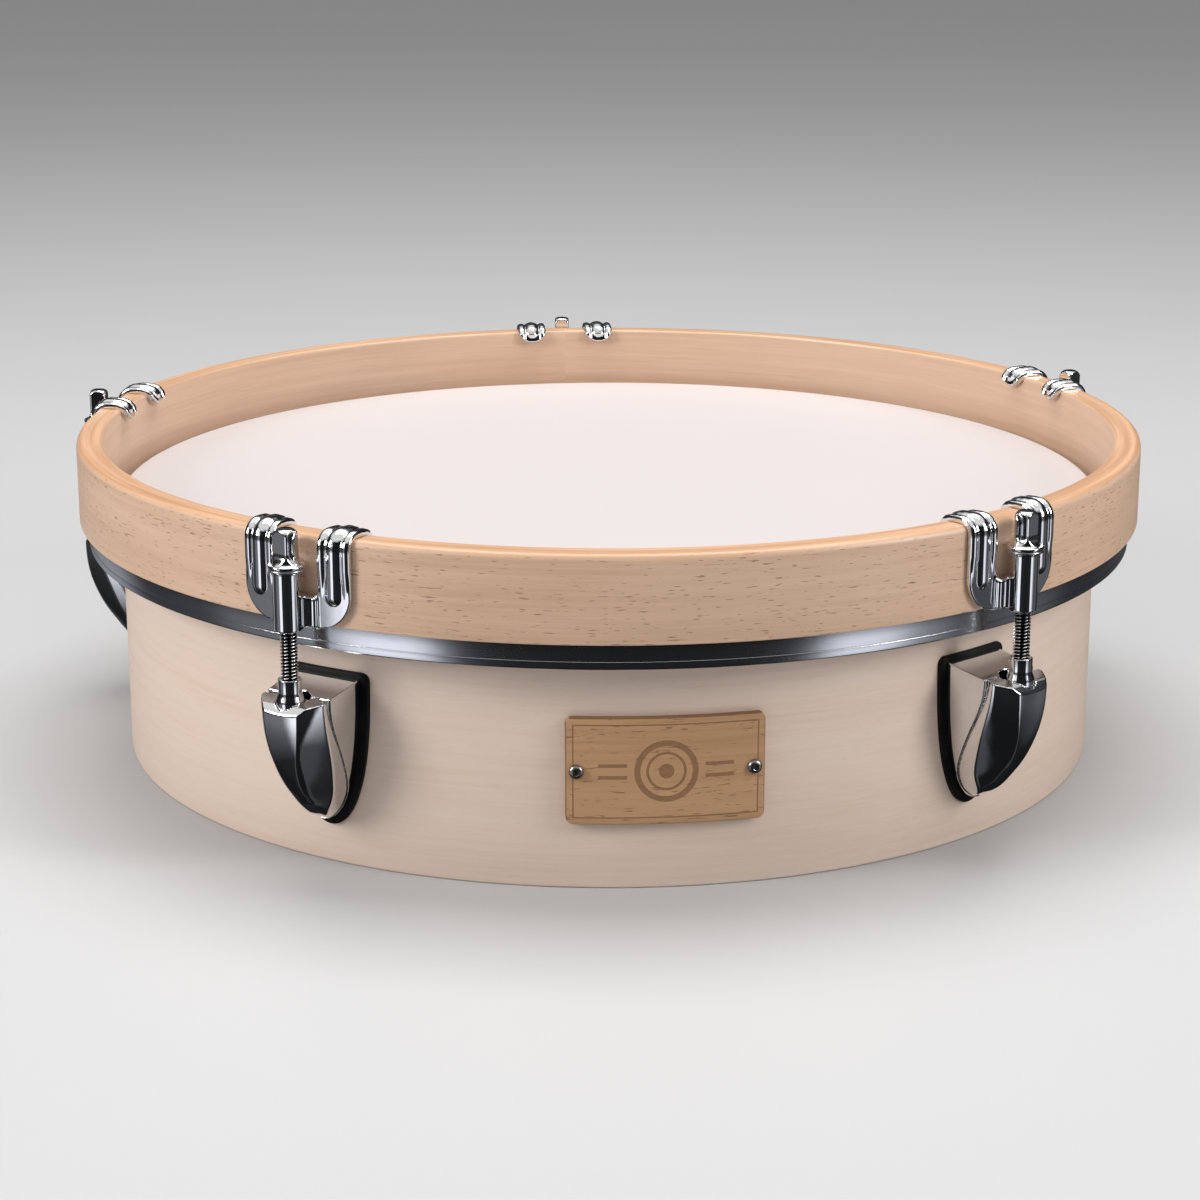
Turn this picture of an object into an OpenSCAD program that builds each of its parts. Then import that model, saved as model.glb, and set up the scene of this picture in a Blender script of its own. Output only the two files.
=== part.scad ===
// Shallow single-headed bass drum, 16 inch, standing on its open bottom rim.
// Five claw-and-rod stations pull a beech counterhoop, and the head under it, onto the shell.
// Origin: on the drum's axis, in the plane of the shell's bottom rim. +Z is up, towards the head.
// The badge faces -Y. Millimetres.

/* [Shell] */
// outer diameter of the ply shell
shell_d = 404; // [380:2:420]
// thickness of the ply shell
shell_wall = 8; // [5:0.5:12]
// height of the shell, from the bottom rim to the crest of the bearing edge
shell_h = 104.3; // [80:0.1:200]
// width of the rounding on the outside of the bearing edge
edge_round = 2.2; // [0.5:0.1:4]

/* [Head] */
// height of the playing surface
head_z = 105; // [80:0.5:201]
// thickness of the film
film_t = 0.4; // [0.2:0.1:0.6]
// outside diameter of the aluminium flesh hoop
flesh_d = 430.8; // [410:0.2:440]
// height of the flesh hoop's channel
flesh_h = 9.8; // [6:0.1:14]
// height of the flesh hoop's lower face
flesh_z = 86.6; // [60:0.1:180]
// wall of the channel
flesh_wall = 1.2; // [0.8:0.1:2]

/* [Counterhoop] */
// outside diameter of the beech counterhoop
hoop_d = 438; // [420:1:450]
// thickness of the counterhoop
hoop_wall = 10.5; // [8:0.5:14]
// height of the counterhoop
hoop_h = 32.7; // [25:0.1:45]
// radius on its upper outer edge
hoop_round = 2.4; // [0.5:0.1:5]

/* [Stations] */
// number of tensioning stations
stations = 5; // [4:1:8]
// azimuth of the first station, from -Y towards +X
first_az = -36; // [-90:1:90]
// distance of the rod axes from the drum's axis
rod_r = 226.1; // [222:0.1:230]

/* [Claws] */
// width over both hooks
claw_w = 45.6; // [40:0.2:60]
// width of the gap between the hooks
claw_gap = 18.8; // [14:0.5:24]
// thickness of the claw's plate
claw_t = 2; // [1.5:0.1:3]
// height of the plate's lower edge above the hoop's lower face
claw_drop = 0.5; // [-2:0.1:4]
// depth of the gap between the hooks, down from the hoop's top
claw_valley = 21.5; // [15:0.5:26]
// width of the rib on each hook
rib_w = 6.4; // [3:0.1:8]
// height of the rib
rib_h = 1.3; // [0.5:0.1:2.5]
// diameter of the barrel that guides the rod
barrel_d = 10.1; // [9:0.5:14]

/* [Tension rods] */
// diameter of the rod over its thread, 1/4-20
rod_d = 6.35; // [5:0.05:8]
// pitch of the thread
rod_pitch = 1.27; // [1:0.01:1.5]
// length of the rod below its head
rod_len = 64; // [50:1:90]
// width of the square key head
key_w = 6.6; // [5:0.05:7]
// height of the key head over its flange
key_h = 13.6; // [9:0.1:16]
// turn of the square key heads, seen from above
key_turn = -3; // [-45:1:45]
// diameter of the flange under the key head
flange_d = 13.6; // [10:0.1:16]

/* [Lugs] */
// height of the lug's top edge at the shell
lug_top = 73; // [50:0.5:90]
// height of the lug's lower tip
lug_bottom = 17.5; // [5:0.5:40]
// half width of the lug at its top edge
lug_half = 14.2; // [10:0.1:20]
// reach of the nose from the drum's axis
nose_r = 233.2; // [230:0.1:245]
// thickness of the rubber gasket under the lug
gasket_t = 2; // [1:0.1:3]
// width of the gasket that shows round the lug
gasket_rim = 3; // [1:0.1:5]
// spacing of the two screws behind each lug
lug_screw_span = 38; // [20:1:44]

/* [Badge] */
// width of the wooden badge
badge_w = 72.2; // [50:1:100]
// height of the badge
badge_h = 40; // [20:1:60]
// height of its centre
badge_z = 45.5; // [30:0.5:70]
// thickness of the badge
badge_t = 2.9; // [1.5:0.1:4]
// spacing of its two screws
badge_screw_span = 64.6; // [40:0.2:90]

/* [Hidden] */
$fn = 96;
eps = 0.01;
gap = 0.3;                       // stand-off between curved faces that move apart
shell_r = shell_d / 2;
bore_r = shell_r - shell_wall;
hoop_r = hoop_d / 2;
hoop_in = hoop_r - hoop_wall;
hoop_z = flesh_z + flesh_h + 0.1;
hoop_top = hoop_z + hoop_h;
lug_r = shell_r + gasket_t;      // the lug's curved back
barrel_top = hoop_top - 11.9;
barrel_bottom = hoop_z - 1.2;
washer_t = 1;
flange_z = barrel_top + washer_t + 0.05;
rod_end = flange_z - rod_len;
nut_top = 77.5;
nut_bottom = 50.6;
pocket_top = 64;
pocket_bottom = 50;
pocket_half = 8.5;                // half width of the pocket, and its reach out from the rod
pocket_out = 4.3;
slot_top = 59;                   // slot through the lug's back, where the nut goes in
slot_bottom = 38;
slot_half = 8.5;
slot_depth = 13;
lug_screw_z = 45;                // height midway between a lug's two screws

chrome = [0.75, 0.76, 0.78];
steel = [0.6, 0.61, 0.63];
maple = [0.87, 0.76, 0.67];
beech = [0.84, 0.67, 0.53];

// points of an arc, from angle a0 to a1
function arc(c, r, a0, a1, n = 8) =
    [for (i = [0:n]) let (a = a0 + (a1 - a0) * i / n) c + r * [cos(a), sin(a)]];
function mirrored(p) = [for (i = [len(p) - 1:-1:0]) [-p[i][0], p[i][1]]];
function backwards(p) = [for (i = [len(p) - 1:-1:0]) p[i]];

// A station's own frame: +X points outwards from the drum, +Y along the rim, +Z up.
module station(k) rotate([0, 0, first_az + (k - 1) * 360 / stations - 90]) children();
module each_station() for (k = [1:stations]) station(k) children();

// a front outline in (y, z), pushed outwards from x0 to x1
module outwards(x0, x1)
    translate([x0, 0, 0]) rotate([90, 0, 90]) linear_extrude(x1 - x0) children();
// a side outline in (x, z), w wide and centred
module sideways(w)
    translate([0, w / 2, 0]) rotate([90, 0, 0]) linear_extrude(w) children();
// a round hole or pin along the station's X axis
module radial_pin(x0, x1, r, y = 0, z = 0)
    translate([x0, y, z]) rotate([0, 90, 0]) cylinder(h = x1 - x0, r = r);
// a wall of a cylinder between two radii
module curved_wall(r0, r1, z0, z1, fn = 360)
    rotate_extrude($fn = fn) translate([r0, z0]) square([r1 - r0, z1 - z0]);

// ---------- shell ----------
module shell() color(maple) difference() {
    rotate_extrude($fn = 360) polygon(concat(
        [[bore_r + 1, 0], [shell_r - 1, 0], [shell_r, 1]],
        arc([shell_r - edge_round, shell_h - edge_round], edge_round, 0, 90),
        [[bore_r, shell_h - (shell_wall - edge_round)], [bore_r, 1]]));
    each_station() for (s = [-1, 1])
        radial_pin(bore_r - 2, shell_r + 2, 2.75, 0, lug_screw_z + s * lug_screw_span / 2);
    for (s = [-1, 1]) rotate([0, 0, -90])
        badge_hole(s) radial_pin(bore_r - 2, shell_r + 2, 1.65, 0, badge_z);
}

// ---------- lug ----------
// half width of the lug where it meets the gasket, as a front outline
function lug_side(m = 0) = concat(
    [[lug_half + m, lug_top + m * 0.6], [lug_half - 0.3 + m, 60],
     [lug_half - 1.2 + m, 46.5], [lug_half - 3.3 + m, 37], [lug_half - 5.6 + m, 29.5]],
    [[lug_half - 7.9 + m * 0.9, 24.3 - m * 0.3], [3.4 + m * 0.6, lug_bottom + 1.6 - m * 0.6]]);
module lug_outline(m = 0)
    polygon(concat(lug_side(m), [[0, lug_bottom - m * 0.7]], mirrored(lug_side(m))));

// sloping top of the lug, from the shell out to the nose
function top_z(r) = lug_top - 0.17 * (r - lug_r);

// side view of the base block: its front edge leans back towards the lower tip
module block_side() polygon([
    [shell_r - 5, lug_bottom - 1], [lug_r + 1, lug_bottom + 4], [lug_r + 2.8, 27],
    [lug_r + 4.8, 34], [lug_r + 8.2, 41], [lug_r + 11.5, 48.5], [lug_r + 14, 55.5],
    [lug_r + 15.6, 62.5], [lug_r + 16, top_z(lug_r + 16)], [shell_r - 5, top_z(shell_r - 5)]]);

// side view of the nose
module nose_side() polygon([
    [shell_r - 5, lug_bottom], [206.5, lug_bottom + 0.3], [nose_r - 20, 21.5],
    [nose_r - 14.8, 25.5], [nose_r - 11.2, 30], [nose_r - 7.8, 35], [nose_r - 5.1, 40],
    [nose_r - 2.5, 47], [nose_r - 1, 54], [nose_r - 0.2, 60], [nose_r, 65],
    [nose_r - 0.2, top_z(nose_r) - 2.1], [nose_r - 2.3, top_z(nose_r - 2.3)],
    [shell_r - 5, top_z(shell_r - 5)]]);
// front view of the nose, a little narrower than the block behind it
function nose_half() = [[13.5, lug_top + 1], [13.4, 60], [12.9, 52], [12.1, 46], [10.7, 38],
    [9.1, 31.5], [6.8, 26], [4, 22.3]];
// top view of the nose: a flat front between two slanting facets
module nose_plan() polygon(concat(
    [[shell_r - 5, -13.6], [225.4, -13.6], [nose_r, -7.9]],
    [[nose_r, 7.9], [225.4, 13.6], [shell_r - 5, 13.6]]));

module lug(k) color(chrome) station(k) difference() {
    union() {
        intersection() {
            sideways(40) block_side();
            outwards(shell_r - 4, nose_r + 4) lug_outline();
        }
        intersection() {
            sideways(40) nose_side();
            outwards(shell_r - 4, nose_r + 4)
                polygon(concat(nose_half(), [[0, lug_bottom]], mirrored(nose_half())));
            linear_extrude(lug_top + 5) nose_plan();
        }
    }
    cylinder(h = 200, r = lug_r, center = true, $fn = 360);
    // oblong mouth for the nut's neck, and the pocket for its wings
    translate([rod_r, 0, pocket_top - 1]) cylinder(h = 20, r = 5.6);
    translate([rod_r - 5, 0, pocket_top - 1]) cylinder(h = 20, r = 5.6);
    translate([rod_r - 9, -pocket_half, pocket_bottom])
        cube([9 + pocket_out, 2 * pocket_half, pocket_top - pocket_bottom]);
    translate([rod_r - 5, -5.6, pocket_top - 1]) cube([5, 11.2, 20]);
    nut_slot(shell_r - 5, 0);
    for (s = [-1, 1])
        radial_pin(shell_r - 5, lug_r + 5, 2.55, 0, lug_screw_z + s * lug_screw_span / 2);
}

// slot behind the pocket, m smaller all round
module nut_slot(x0, m) {
    translate([x0, -slot_half + m, slot_bottom + m])
        cube([lug_r + slot_depth - m - x0, 2 * (slot_half - m), slot_top - slot_bottom - 2 * m]);
    translate([x0, -slot_half + m, pocket_bottom + m])
        cube([rod_r - x0 - m, 2 * (slot_half - m), slot_top - pocket_bottom - 2 * m]);
}

module lug_gasket(k) color([0.06, 0.06, 0.06]) station(k) difference() {
    intersection() {
        curved_wall(shell_r, lug_r, lug_bottom - 6, lug_top + 6);
        outwards(shell_r - 20, shell_r + 20) lug_outline(gasket_rim);
    }
    nut_slot(shell_r - 20, 0);
    for (s = [-1, 1])
        radial_pin(shell_r - 20, lug_r + 9, 2.75, 0, lug_screw_z + s * lug_screw_span / 2);
}

// long nut with two wings that sit loosely under the lug's mouth, so that it lines itself up
// with the rod and cannot turn
module swivel_nut(k) color(chrome) station(k) translate([rod_r, 0, 0]) difference() {
    union() {
        rotate_extrude() polygon([
            [0, nut_bottom], [3.8, nut_bottom], [4.15, nut_bottom + 0.4], [4.15, pocket_top - 0.6],
            [5.3, pocket_top], [5.3, 69.2], [4.35, 71.8], [4.35, nut_top - 0.5],
            [3.95, nut_top], [0, nut_top]]);
        translate([-5.2, 0.4 - pocket_half, pocket_top - 8])
            cube([9.2, 2 * pocket_half - 0.8, 7]);
    }
    translate([0, 0, nut_bottom - 1]) cylinder(h = 40, r = rod_d / 2 + 0.065);
}

// nylon block that fills the slot behind each nut
module nut_retainers() color([0.9, 0.9, 0.88]) each_station() difference() {
    nut_slot(lug_r + 0.3, 0.2);
    translate([rod_r - 5.5, -10, 0]) cube([20, 20, 80]);
}

module lug_screws() color(steel) each_station() for (s = [-1, 1])
    translate([bore_r - 1.15, 0, lug_screw_z + s * lug_screw_span / 2]) rotate([0, 90, 0]) difference() {
        union() {
            translate([0, 0, -eps]) cylinder(h = 15.5, r = 2.5);
            rotate([180, 0, 0]) rotate_extrude()
                polygon([[0, 0], [4.6, 0], [4.6, 1.6], [3.9, 2.6], [2.6, 3.1], [0, 3.2]]);
        }
        for (q = [0, 90]) rotate([0, 0, q]) translate([-2.6, -0.5, -4]) cube([5.2, 1, 2.4]);
    }

module lug_screw_washers() color(steel) each_station() for (s = [-1, 1])
    translate([bore_r - 1.1, 0, lug_screw_z + s * lug_screw_span / 2]) rotate([0, 90, 0]) difference() {
        cylinder(h = 1, r = 6);
        translate([0, 0, -1]) cylinder(h = 3, r = 2.7);
    }

// ---------- badge ----------
badge_turn = badge_screw_span / 2 / (shell_r + badge_t) * 180 / PI;
module badge_hole(s) rotate([0, 0, s * badge_turn]) children();

module badge() color([0.82, 0.66, 0.52]) rotate([0, 0, -90]) difference() {
    r = 2.5;
    a = badge_w / 2 - r;
    b = badge_h / 2 - r;
    intersection() {
        curved_wall(shell_r, shell_r + badge_t, badge_z - badge_h, badge_z + badge_h);
        outwards(shell_r - 20, shell_r + 20) translate([0, badge_z]) polygon(concat(
            arc([a, b], r, 0, 90), arc([-a, b], r, 90, 180),
            arc([-a, -b], r, 180, 270), arc([a, -b], r, 270, 360)));
    }
    for (s = [-1, 1]) badge_hole(s) radial_pin(shell_r - 20, shell_r + 20, 1.65, 0, badge_z);
}

module badge_screws() color(steel) rotate([0, 0, -90]) for (s = [-1, 1]) badge_hole(s)
    translate([shell_r + badge_t + 0.05, 0, badge_z]) rotate([0, 90, 0]) difference() {
        union() {
            rotate_extrude() polygon(concat([[0, 0], [2.75, 0]],
                [for (t = [15:15:75]) [2.75 * cos(t), 1.75 * sin(t)]], [[0, 1.75]]));
            translate([0, 0, -16]) cylinder(h = 16.2, r = 1.5);
        }
        translate([0, 0, 0.6]) cylinder(h = 4, r = 1.2, $fn = 6);
    }

module badge_nuts() color(steel) rotate([0, 0, -90]) for (s = [-1, 1]) badge_hole(s)
    translate([bore_r - 0.05, 0, badge_z]) rotate([0, -90, 0]) difference() {
        union() {
            cylinder(h = 0.8, r = 4.2);
            translate([0, 0, 0.8 - eps]) cylinder(h = 2.4, r = 3.2, $fn = 6);
        }
        translate([0, 0, -1]) cylinder(h = 6, r = 1.53);
    }

// ---------- counterhoop and head ----------
module counterhoop() color(beech) rotate_extrude($fn = 360) polygon(concat(
    [[hoop_in, hoop_z + 0.5], [hoop_in + 0.5, hoop_z], [hoop_r - 0.6, hoop_z],
     [hoop_r, hoop_z + 0.6]],
    arc([hoop_r - hoop_round, hoop_top - hoop_round], hoop_round, 0, 90),
    arc([hoop_in + 1, hoop_top - 1], 1, 90, 180, 4)));

// path of the film, from the middle over the bearing edge into the channel;
// d moves it inwards, towards the shell
film_bend = edge_round + gap + film_t;
function film_path(d) = concat(
    [[0, head_z - d]],
    arc([shell_r - edge_round, head_z - film_bend], film_bend - d, 90, 0),
    [[shell_r + gap + film_t + 0.3 - d, 99.2], [204.1 - d * 0.8, 97.9 - d * 0.5],
     [206.4 - d * 0.6, 96.4 - d * 0.8], [207.3 - d, 94.6 - d * 0.4], [207.5 - d, 89.6]]);
module drumhead_film() color([0.96, 0.95, 0.94])
    rotate_extrude($fn = 360) polygon(concat(backwards(film_path(0)), film_path(film_t)));

flesh_r = flesh_d / 2;
flesh_in = shell_r + 2.1;
module flesh_hoop() color([0.78, 0.79, 0.82]) rotate_extrude($fn = 360) polygon([
    [flesh_in, flesh_z + 0.4], [flesh_in + 0.4, flesh_z], [flesh_r - 0.5, flesh_z],
    [flesh_r, flesh_z + 0.5], [flesh_r, flesh_z + flesh_h],
    [flesh_r - flesh_wall, flesh_z + flesh_h], [flesh_r - flesh_wall, flesh_z + flesh_wall],
    [flesh_in + flesh_wall, flesh_z + flesh_wall], [flesh_in + flesh_wall, flesh_z + 8.1],
    [flesh_in, flesh_z + 8.1]]);

// cast resin that holds the film's edge in the channel
module flesh_hoop_resin() color([0.85, 0.84, 0.8]) rotate_extrude($fn = 360) difference() {
    translate([flesh_in + flesh_wall, flesh_z + flesh_wall])
        square([flesh_r - flesh_in - 2 * flesh_wall, 6.4]);
    polygon(concat(backwards(film_path(0)), film_path(film_t)));
}

// ---------- claws ----------
hook_side = claw_w / 2;
valley_side = claw_gap / 2;
plate_in = hoop_r + gap;
plate_out = plate_in + claw_t;
plate_z = hoop_z + claw_drop - 1;
valley_z = hoop_top - claw_valley;

// section through a hook, over the hoop and down inside it; g thickens its outer side
function hook_outer(g) = concat(
    [[plate_out + g, plate_z]],
    arc([plate_out - 7.6, hoop_top - 4.5], 7.6 + g, 0, 100, 12),
    [[209.2 - g * 0.6, hoop_top + 2.3 + g * 0.8], [206.2 - g * 0.8, hoop_top + 0.2 + g * 0.5],
     [204.6 - g, hoop_top - 2.6], [204.4 - g, hoop_top - 4.9]]);
function hook_inner() = concat(
    [[205.2, hoop_top - 5.9], [206.6, hoop_top - 5.7], [207.3, hoop_top - 2.6],
     [208.7, hoop_top - 0.2], [210.2, hoop_top + gap]],
    backwards(arc([hoop_r - hoop_round, hoop_top - hoop_round], hoop_round + gap, 0, 90)),
    [[plate_in, plate_z]]);
module hook_section(g = 0) polygon(concat(hook_outer(g), hook_inner()));

// front outline of one hook and its half of the plate, from the middle to the right
module claw_half() polygon(concat(
    [[-1, plate_z], [8, plate_z]],
    arc([hook_side - 14.2, plate_z + 13.4], 14.2, -75, 0, 10),
    [[hook_side, hoop_top + 8], [valley_side, hoop_top + 8]],
    arc([valley_side - 2, valley_z + 2], 2, 0, -90, 4),
    [[-1, valley_z]]));

module rib_outline(c) polygon(concat(
    [[c + rib_w / 2, hoop_top + 8], [c - rib_w / 2, hoop_top + 8]],
    arc([c, valley_z + 2], rib_w / 2, 180, 360, 10)));

module claw(k) color(chrome) station(k) difference() {
    union() {
        intersection() {
            rotate([0, 0, -12]) rotate_extrude(angle = 24, $fn = 360) hook_section();
            outwards(rod_r - 24, rod_r) union() { claw_half(); mirror([1, 0]) claw_half(); }
        }
        // a rib runs over each hook; its lower end is round
        for (s = [-1, 1]) intersection() {
            rotate([0, 0, -12]) rotate_extrude(angle = 24, $fn = 360) hook_section(rib_h);
            outwards(rod_r - 24, rod_r) rib_outline(s * (claw_gap / 2 + (claw_w - claw_gap) / 4));
        }
        translate([plate_in + 0.5, -5, plate_z])
            cube([rod_r - plate_in - 0.5, 10, valley_z - plate_z]);
        translate([rod_r, 0, barrel_bottom])
            cylinder(h = barrel_top - barrel_bottom, r = barrel_d / 2);
    }
    translate([rod_r, 0, barrel_bottom - 5]) cylinder(h = 60, r = rod_d / 2 + 0.2);
}

module rod_washers() color(steel) each_station() translate([rod_r, 0, barrel_top]) difference() {
    cylinder(h = washer_t, r = 6.5);
    translate([0, 0, -1]) cylinder(h = 3, r = rod_d / 2 + 0.15);
}

// ---------- tension rods ----------
thread_top = barrel_bottom + 2;
thread_n = floor((thread_top - rod_end - 1.5) / rod_pitch);
thread_depth = 0.55;
// the thread is drawn as rings one pitch apart
function thread_profile() = concat(
    [[rod_d / 2 - thread_depth, rod_end], [rod_d / 2 - thread_depth, thread_top - thread_n * rod_pitch]],
    [for (i = [thread_n:-1:1]) each let (z = thread_top - i * rod_pitch) [
        [rod_d / 2, z + rod_pitch * 0.4], [rod_d / 2, z + rod_pitch * 0.55],
        [rod_d / 2 - thread_depth, z + rod_pitch * 0.95], [rod_d / 2 - thread_depth, z + rod_pitch]]],
    [[rod_d / 2, thread_top + 0.5]]);

module tension_rod(k) color(chrome) station(k) translate([rod_r, 0, 0]) {
    rotate_extrude() polygon(concat([[0, rod_end]], thread_profile(),
        [[rod_d / 2, flange_z], [flange_d / 2 - 0.3, flange_z], [flange_d / 2, flange_z + 0.4],
         [flange_d / 2, flange_z + 1], [flange_d / 2 - 0.5, flange_z + 1.4],
         [5.2, flange_z + 1.9], [4.5, flange_z + 2.8], [4.1, flange_z + 4.2],
         [0, flange_z + 4.2]]));
    // square key head with rounded corners and a domed top
    intersection() {
        rotate([0, 0, key_turn]) translate([-key_w / 2, -key_w / 2, flange_z + 2])
            cube([key_w, key_w, key_h]);
        translate([0, 0, flange_z + 1])
            rotate_extrude() polygon(concat([[0, 0], [4.4, 0]],
                arc([4.4 - 2.7, key_h - 2.7], 2.7, 0, 90), [[0, key_h]]));
    }
}

shell();
for (k = [1:stations]) {
    lug(k);
    lug_gasket(k);
    swivel_nut(k);
    claw(k);
    tension_rod(k);
}
nut_retainers();
lug_screws();
lug_screw_washers();
badge();
badge_screws();
badge_nuts();
counterhoop();
drumhead_film();
flesh_hoop();
flesh_hoop_resin();
rod_washers();
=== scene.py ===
import math
import bmesh
import bpy
import numpy as np
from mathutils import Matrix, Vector


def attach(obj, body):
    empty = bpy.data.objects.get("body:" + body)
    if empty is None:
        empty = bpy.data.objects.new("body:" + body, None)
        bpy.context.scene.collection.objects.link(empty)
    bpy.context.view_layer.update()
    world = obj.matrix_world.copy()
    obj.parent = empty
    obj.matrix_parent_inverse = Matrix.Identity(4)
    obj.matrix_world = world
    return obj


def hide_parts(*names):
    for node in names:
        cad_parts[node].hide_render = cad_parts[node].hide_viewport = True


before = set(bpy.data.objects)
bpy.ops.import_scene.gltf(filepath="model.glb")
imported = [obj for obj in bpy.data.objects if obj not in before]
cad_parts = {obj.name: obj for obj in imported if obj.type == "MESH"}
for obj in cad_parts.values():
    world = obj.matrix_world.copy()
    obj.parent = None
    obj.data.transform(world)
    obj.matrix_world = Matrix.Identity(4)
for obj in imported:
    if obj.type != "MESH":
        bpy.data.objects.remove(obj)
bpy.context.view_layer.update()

MM = 0.001

# tension stations: how many, the first one's degrees from the badge, the rods' axes
STATIONS = 5
FIRST_AZ = -36.0
ROD_R = 226.1
STATION_NUMBERS = range(1, STATIONS + 1)

# shell, counterhoop, film and the aluminium flesh hoop
SHELL_R = 202.0
SHELL_IN = 194.0
SHELL_TOP = 104.3
HOOP_R = 219.0
HOOP_IN = 208.5
HOOP_Z = 96.5
HOOP_TOP = 129.2
HEAD_Z = 105.0
FLESH_Z = 86.6
FLESH_R = 215.4

# claw's barrel, rod with its flange, lug and swivel nut
BARREL_TOP = HOOP_TOP - 11.9
BARREL_BOTTOM = HOOP_Z - 1.2
FLANGE_Z = BARREL_TOP + 1.05
PITCH = 1.27
ROD_END = FLANGE_Z - 64.0
LUG_R = 204.0
LUG_TOP = 73.0
NUT_TOP = 77.5


# ---------------------------------------------------------------- meshes

def rotated(v, degrees):
    """Points or directions turned about Z."""
    c = math.cos(math.radians(degrees))
    s = math.sin(math.radians(degrees))
    return np.asarray(v, float) @ np.array([[c, -s, 0], [s, c, 0], [0, 0, 1]]).T


def make(name, verts, faces, body, material, sharp=40.0, grain=None, normals=None,
         replaces=(), turn=0.0):
    """A mesh object from millimetre vertices, turned about Z by turn degrees. It gets either
    its own normals, or smooth shading with edges above sharp degrees left sharp."""
    v = rotated(np.asarray(verts, float) * MM, turn)
    me = bpy.data.meshes.new(name)
    me.from_pydata(v.tolist(), [], [tuple(int(i) for i in f) for f in faces])
    me.polygons.foreach_set("use_smooth", np.ones(len(me.polygons), bool))
    if grain is not None:
        a = me.attributes.new("grain", "FLOAT_VECTOR", "CORNER")
        a.data.foreach_set("vector", (np.asarray(grain, float) * MM).ravel())
    if normals is None:
        bm = bmesh.new()
        bm.from_mesh(me)
        bmesh.ops.recalc_face_normals(bm, faces=bm.faces)
        bm.to_mesh(me)
        bm.free()
    if sharp is not None:
        me.set_sharp_from_angle(angle=math.radians(sharp))
    if normals is not None:
        me.normals_split_custom_set_from_vertices(rotated(normals, turn).tolist())
    me.materials.append(material)
    ob = bpy.data.objects.new(name, me)
    bpy.context.collection.objects.link(ob)
    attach(ob, body)
    if replaces:
        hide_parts(*replaces)
    return ob


def arc(cx, cy, r, a0, a1, n=8):
    """Points on an arc from a0 to a1 degrees."""
    return [(cx + r * math.cos(math.radians(a0 + (a1 - a0) * i / n)),
             cy + r * math.sin(math.radians(a0 + (a1 - a0) * i / n))) for i in range(n + 1)]


def rounded(points, closed=True, n=4):
    """Rounds the corners of a polyline: each point is (x, y) or (x, y, radius)."""
    out = []
    count = len(points)
    for i, p in enumerate(points):
        r = p[2] if len(p) > 2 else 0.0
        if r <= 0 or (not closed and i in (0, count - 1)):
            out.append((p[0], p[1]))
            continue
        a, b = Vector(points[i - 1][:2]), Vector(points[(i + 1) % count][:2])
        c = Vector(p[:2])
        u, w = (a - c), (b - c)
        r = min(r, 0.49 * u.length, 0.49 * w.length)
        u.normalize()
        w.normalize()
        for k in range(n + 1):
            t = k / n
            q = (c + u * r) * (1 - t) ** 2 + c * 2 * t * (1 - t) + (c + w * r) * t ** 2
            out.append((q.x, q.y))
    return out


def lathe(profile, segs, closed=True):
    """Revolves (radius, height) points about Z. Gives vertices, faces, and grain coordinates:
    distance round the drum, height and radius. The seam is at +Y."""
    p = np.array(profile, float)
    th = np.pi / 2 + 2 * np.pi * np.arange(segs) / segs
    v = np.stack([np.outer(np.cos(th), p[:, 0]), np.outer(np.sin(th), p[:, 0]),
                  np.tile(p[:, 1], (segs, 1))], axis=-1).reshape(-1, 3)
    m = len(p)
    faces, grain = [], []
    ref = p[:, 0].max()
    for i in range(segs):
        j = (i + 1) % segs
        for k in range(m if closed else m - 1):
            k2 = (k + 1) % m
            ring = [(i, k), (j, k), (j, k2), (i, k2)]
            s = [i, i + 1, i + 1, i]
            if p[k, 0] < 1e-6:
                ring, s = ring[1:], s[1:]
            elif p[k2, 0] < 1e-6:
                ring, s = ring[:3], s[:3]
            faces.append([a * m + b for a, b in ring])
            grain += [(2 * math.pi * q / segs * ref, p[b, 1], p[b, 0])
                      for q, (a, b) in zip(s, ring)]
    return v, faces, grain


def merge_axis(v, faces):
    """Joins the copies of points that lie on the axis."""
    keep, index, seen = [], {}, {}
    for i, p in enumerate(v):
        if abs(p[0]) < 1e-6 and abs(p[1]) < 1e-6:
            key = round(float(p[2]), 5)
            if key in seen:
                index[i] = seen[key]
                continue
            seen[key] = len(keep)
        index[i] = len(keep)
        keep.append(p)
    return np.array(keep), [[index[i] for i in f] for f in faces]


def joined(parts):
    """Several (verts, faces) as one."""
    vs, fs, base = [], [], 0
    for v, f in parts:
        vs.append(np.asarray(v, float))
        fs += [[i + base for i in q] for q in f]
        base += len(v)
    return np.concatenate(vs), fs


def circle(r, z, th):
    """A loop round Z at height z, with one radius or one for each angle in th."""
    return np.stack([r * np.cos(th), r * np.sin(th), np.full(len(th), z)], axis=1)


def loft(loops):
    """Skins closed loops with the same number of points, and caps both ends."""
    n = len(loops[0])
    v = np.concatenate([np.asarray(q, float) for q in loops])
    f = []
    for i in range(len(loops) - 1):
        for k in range(n):
            k2 = (k + 1) % n
            f.append([i * n + k, i * n + k2, (i + 1) * n + k2, (i + 1) * n + k])
    f.append(list(range(n))[::-1])
    f.append([(len(loops) - 1) * n + k for k in range(n)])
    return v, f


def station_turn(k):
    """Where station k stands, in degrees from +X."""
    return FIRST_AZ + (k - 1) * 360.0 / STATIONS - 90.0


# ---------------------------------------------------------------- implicit surfaces

def smin(a, b, k):
    """The smaller of two distances, with a fillet about k wide where they meet."""
    h = np.clip(0.5 + 0.5 * (b - a) / k, 0, 1)
    return b * (1 - h) + a * h - k * h * (1 - h)


def smax(a, b, k):
    """The larger of two distances, with a rounded edge about k wide."""
    return -smin(-a, -b, k)


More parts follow.
